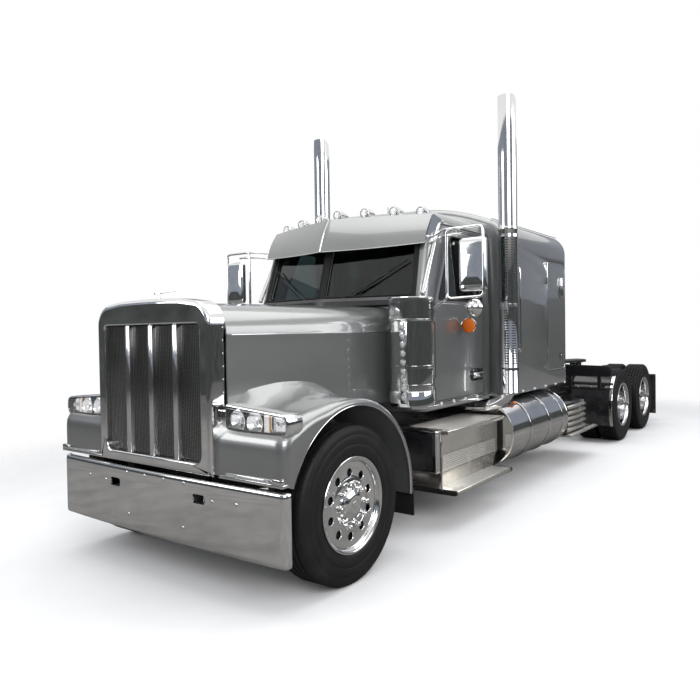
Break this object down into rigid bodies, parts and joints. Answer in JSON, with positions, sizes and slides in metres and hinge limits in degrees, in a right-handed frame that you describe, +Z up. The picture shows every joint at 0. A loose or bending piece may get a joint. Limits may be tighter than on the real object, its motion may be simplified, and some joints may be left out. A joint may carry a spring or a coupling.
{
  "type": "semi truck tractor unit",
  "caption": "Long-nose highway tractor unit with a raised-roof sleeper, tilting hood, hinged doors, steered front wheels, twin drive axles and a pitching fifth wheel.",
  "frame": {"origin": "on the ground under the middle of the overall length, on the centre line", "axes": "+X forward, +Y to the driver's left, +Z up"},
  "size_m": [9.6, 3.02, 3.955],
  "materials": {
    "paint": "silver-grey metallic enamel",
    "frame_black": "satin black chassis paint",
    "chrome": "bright chrome plate",
    "polished": "polished aluminium",
    "cast": "dark painted castings",
    "tyre": "black rubber",
    "rubber": "black rubber sheet",
    "glass": "tinted safety glass",
    "lamp": "clear lamp lenses",
    "interior": "grained dark trim",
    "upholstery": "woven grey seat cloth"
  },
  "bodies": {
    "chassis": {"frame_rails": "frame_black", "crossmembers": "frame_black", "front_bumper": "chrome", "front_axle": "frame_black", "rear_axles": "frame_black", "rear_suspension": "frame_black", "engine_block": "cast", "driveline": "cast", "radiator": "frame_black", "cab_shell": "paint", "windshield": "glass", "sun_visor": "paint", "dashboard": "interior", "seats": "upholstery", "sleeper_shell": "paint", "bunk": "upholstery", "air_cleaners": "chrome", "exhaust_stacks": "chrome", "mirrors": "chrome", "fuel_tanks": "polished", "step_boxes": "polished", "tool_boxes": "polished", "quarter_fenders": "polished", "deck_plate": "polished", "mud_flaps": "rubber", "fifth_wheel_base": "frame_black"},
    "hood": {"hood_shell": "paint", "fenders": "paint", "grille_surround": "chrome", "grille_screen": "frame_black", "headlights": "chrome"},
    "left_door": {"left_door": "paint", "left_door_glass": "glass"},
    "right_door": {"right_door": "paint", "right_door_glass": "glass"},
    "left_baggage_door": {"left_baggage_door": "paint"},
    "right_baggage_door": {"right_baggage_door": "paint"},
    "fifth_wheel": {"fifth_wheel": "cast"},
    "left_knuckle": {"left_knuckle": "frame_black"},
    "right_knuckle": {"right_knuckle": "frame_black"},
    "tie_rod": {"tie_rod": "frame_black"},
    "left_front_wheel": {"left_front_tyre": "tyre", "left_front_rim": "polished"},
    "right_front_wheel": {"right_front_tyre": "tyre", "right_front_rim": "polished"},
    "left_drive_wheel_1": {"left_drive_tyres_1": "tyre", "left_drive_rims_1": "polished"},
    "left_drive_wheel_2": {"left_drive_tyres_2": "tyre", "left_drive_rims_2": "polished"},
    "right_drive_wheel_1": {"right_drive_tyres_1": "tyre", "right_drive_rims_1": "polished"},
    "right_drive_wheel_2": {"right_drive_tyres_2": "tyre", "right_drive_rims_2": "polished"}
  },
  "joints": [
    {"name": "hood_tilt", "type": "hinge", "parent": "chassis", "child": "hood", "pos_m": [4.695, 0, 0.6], "axis": [0, 1, 0], "range_deg": [0, 75]},
    {"name": "left_door_hinge", "type": "hinge", "parent": "chassis", "child": "left_door", "pos_m": [2.605, 0.96, 1.5], "axis": [0, 0, -1], "range_deg": [0, 70]},
    {"name": "right_door_hinge", "type": "hinge", "parent": "chassis", "child": "right_door", "pos_m": [2.605, -0.96, 1.5], "axis": [0, 0, 1], "range_deg": [0, 70]},
    {"name": "left_baggage_hinge", "type": "hinge", "parent": "chassis", "child": "left_baggage_door", "pos_m": [0.185, 1.07, 1.8], "axis": [0, 0, -1], "range_deg": [0, 95]},
    {"name": "right_baggage_hinge", "type": "hinge", "parent": "chassis", "child": "right_baggage_door", "pos_m": [0.185, -1.07, 1.8], "axis": [0, 0, 1], "range_deg": [0, 95]},
    {"name": "fifth_wheel_pitch", "type": "hinge", "parent": "chassis", "child": "fifth_wheel", "pos_m": [-3.085, 0, 1.07], "axis": [0, 1, 0], "range_deg": [-10, 10]},
    {"name": "left_steer", "type": "hinge", "parent": "chassis", "child": "left_knuckle", "pos_m": [4.065, 0.86, 0.535], "axis": [0, 0, 1], "range_deg": [-35, 35]},
    {"name": "right_steer", "type": "hinge", "parent": "chassis", "child": "right_knuckle", "pos_m": [4.065, -0.86, 0.535], "axis": [0, 0, 1], "range_deg": [-35, 35]},
    {"name": "tie_rod_pivot", "type": "hinge", "parent": "left_knuckle", "child": "tie_rod", "pos_m": [3.865, 0.86, 0.455], "axis": [0, 0, 1], "range_deg": [-35, 35]},
    {"name": "left_front_spin", "type": "hinge", "parent": "left_knuckle", "child": "left_front_wheel", "pos_m": [4.065, 1.04, 0.535], "axis": [0, 1, 0], "continuous": true},
    {"name": "right_front_spin", "type": "hinge", "parent": "right_knuckle", "child": "right_front_wheel", "pos_m": [4.065, -1.04, 0.535], "axis": [0, 1, 0], "continuous": true},
    {"name": "left_drive_spin_1", "type": "hinge", "parent": "chassis", "child": "left_drive_wheel_1", "pos_m": [-2.58, 0.9125, 0.535], "axis": [0, 1, 0], "continuous": true},
    {"name": "left_drive_spin_2", "type": "hinge", "parent": "chassis", "child": "left_drive_wheel_2", "pos_m": [-3.9, 0.9125, 0.535], "axis": [0, 1, 0], "continuous": true},
    {"name": "right_drive_spin_1", "type": "hinge", "parent": "chassis", "child": "right_drive_wheel_1", "pos_m": [-2.58, -0.9125, 0.535], "axis": [0, 1, 0], "continuous": true},
    {"name": "right_drive_spin_2", "type": "hinge", "parent": "chassis", "child": "right_drive_wheel_2", "pos_m": [-3.9, -0.9125, 0.535], "axis": [0, 1, 0], "continuous": true}
  ],
  "couplings": [
    {"joint": "right_steer", "follows": "left_steer", "ratio": 1},
    {"joint": "tie_rod_pivot", "follows": "left_steer", "ratio": -1}
  ]
}
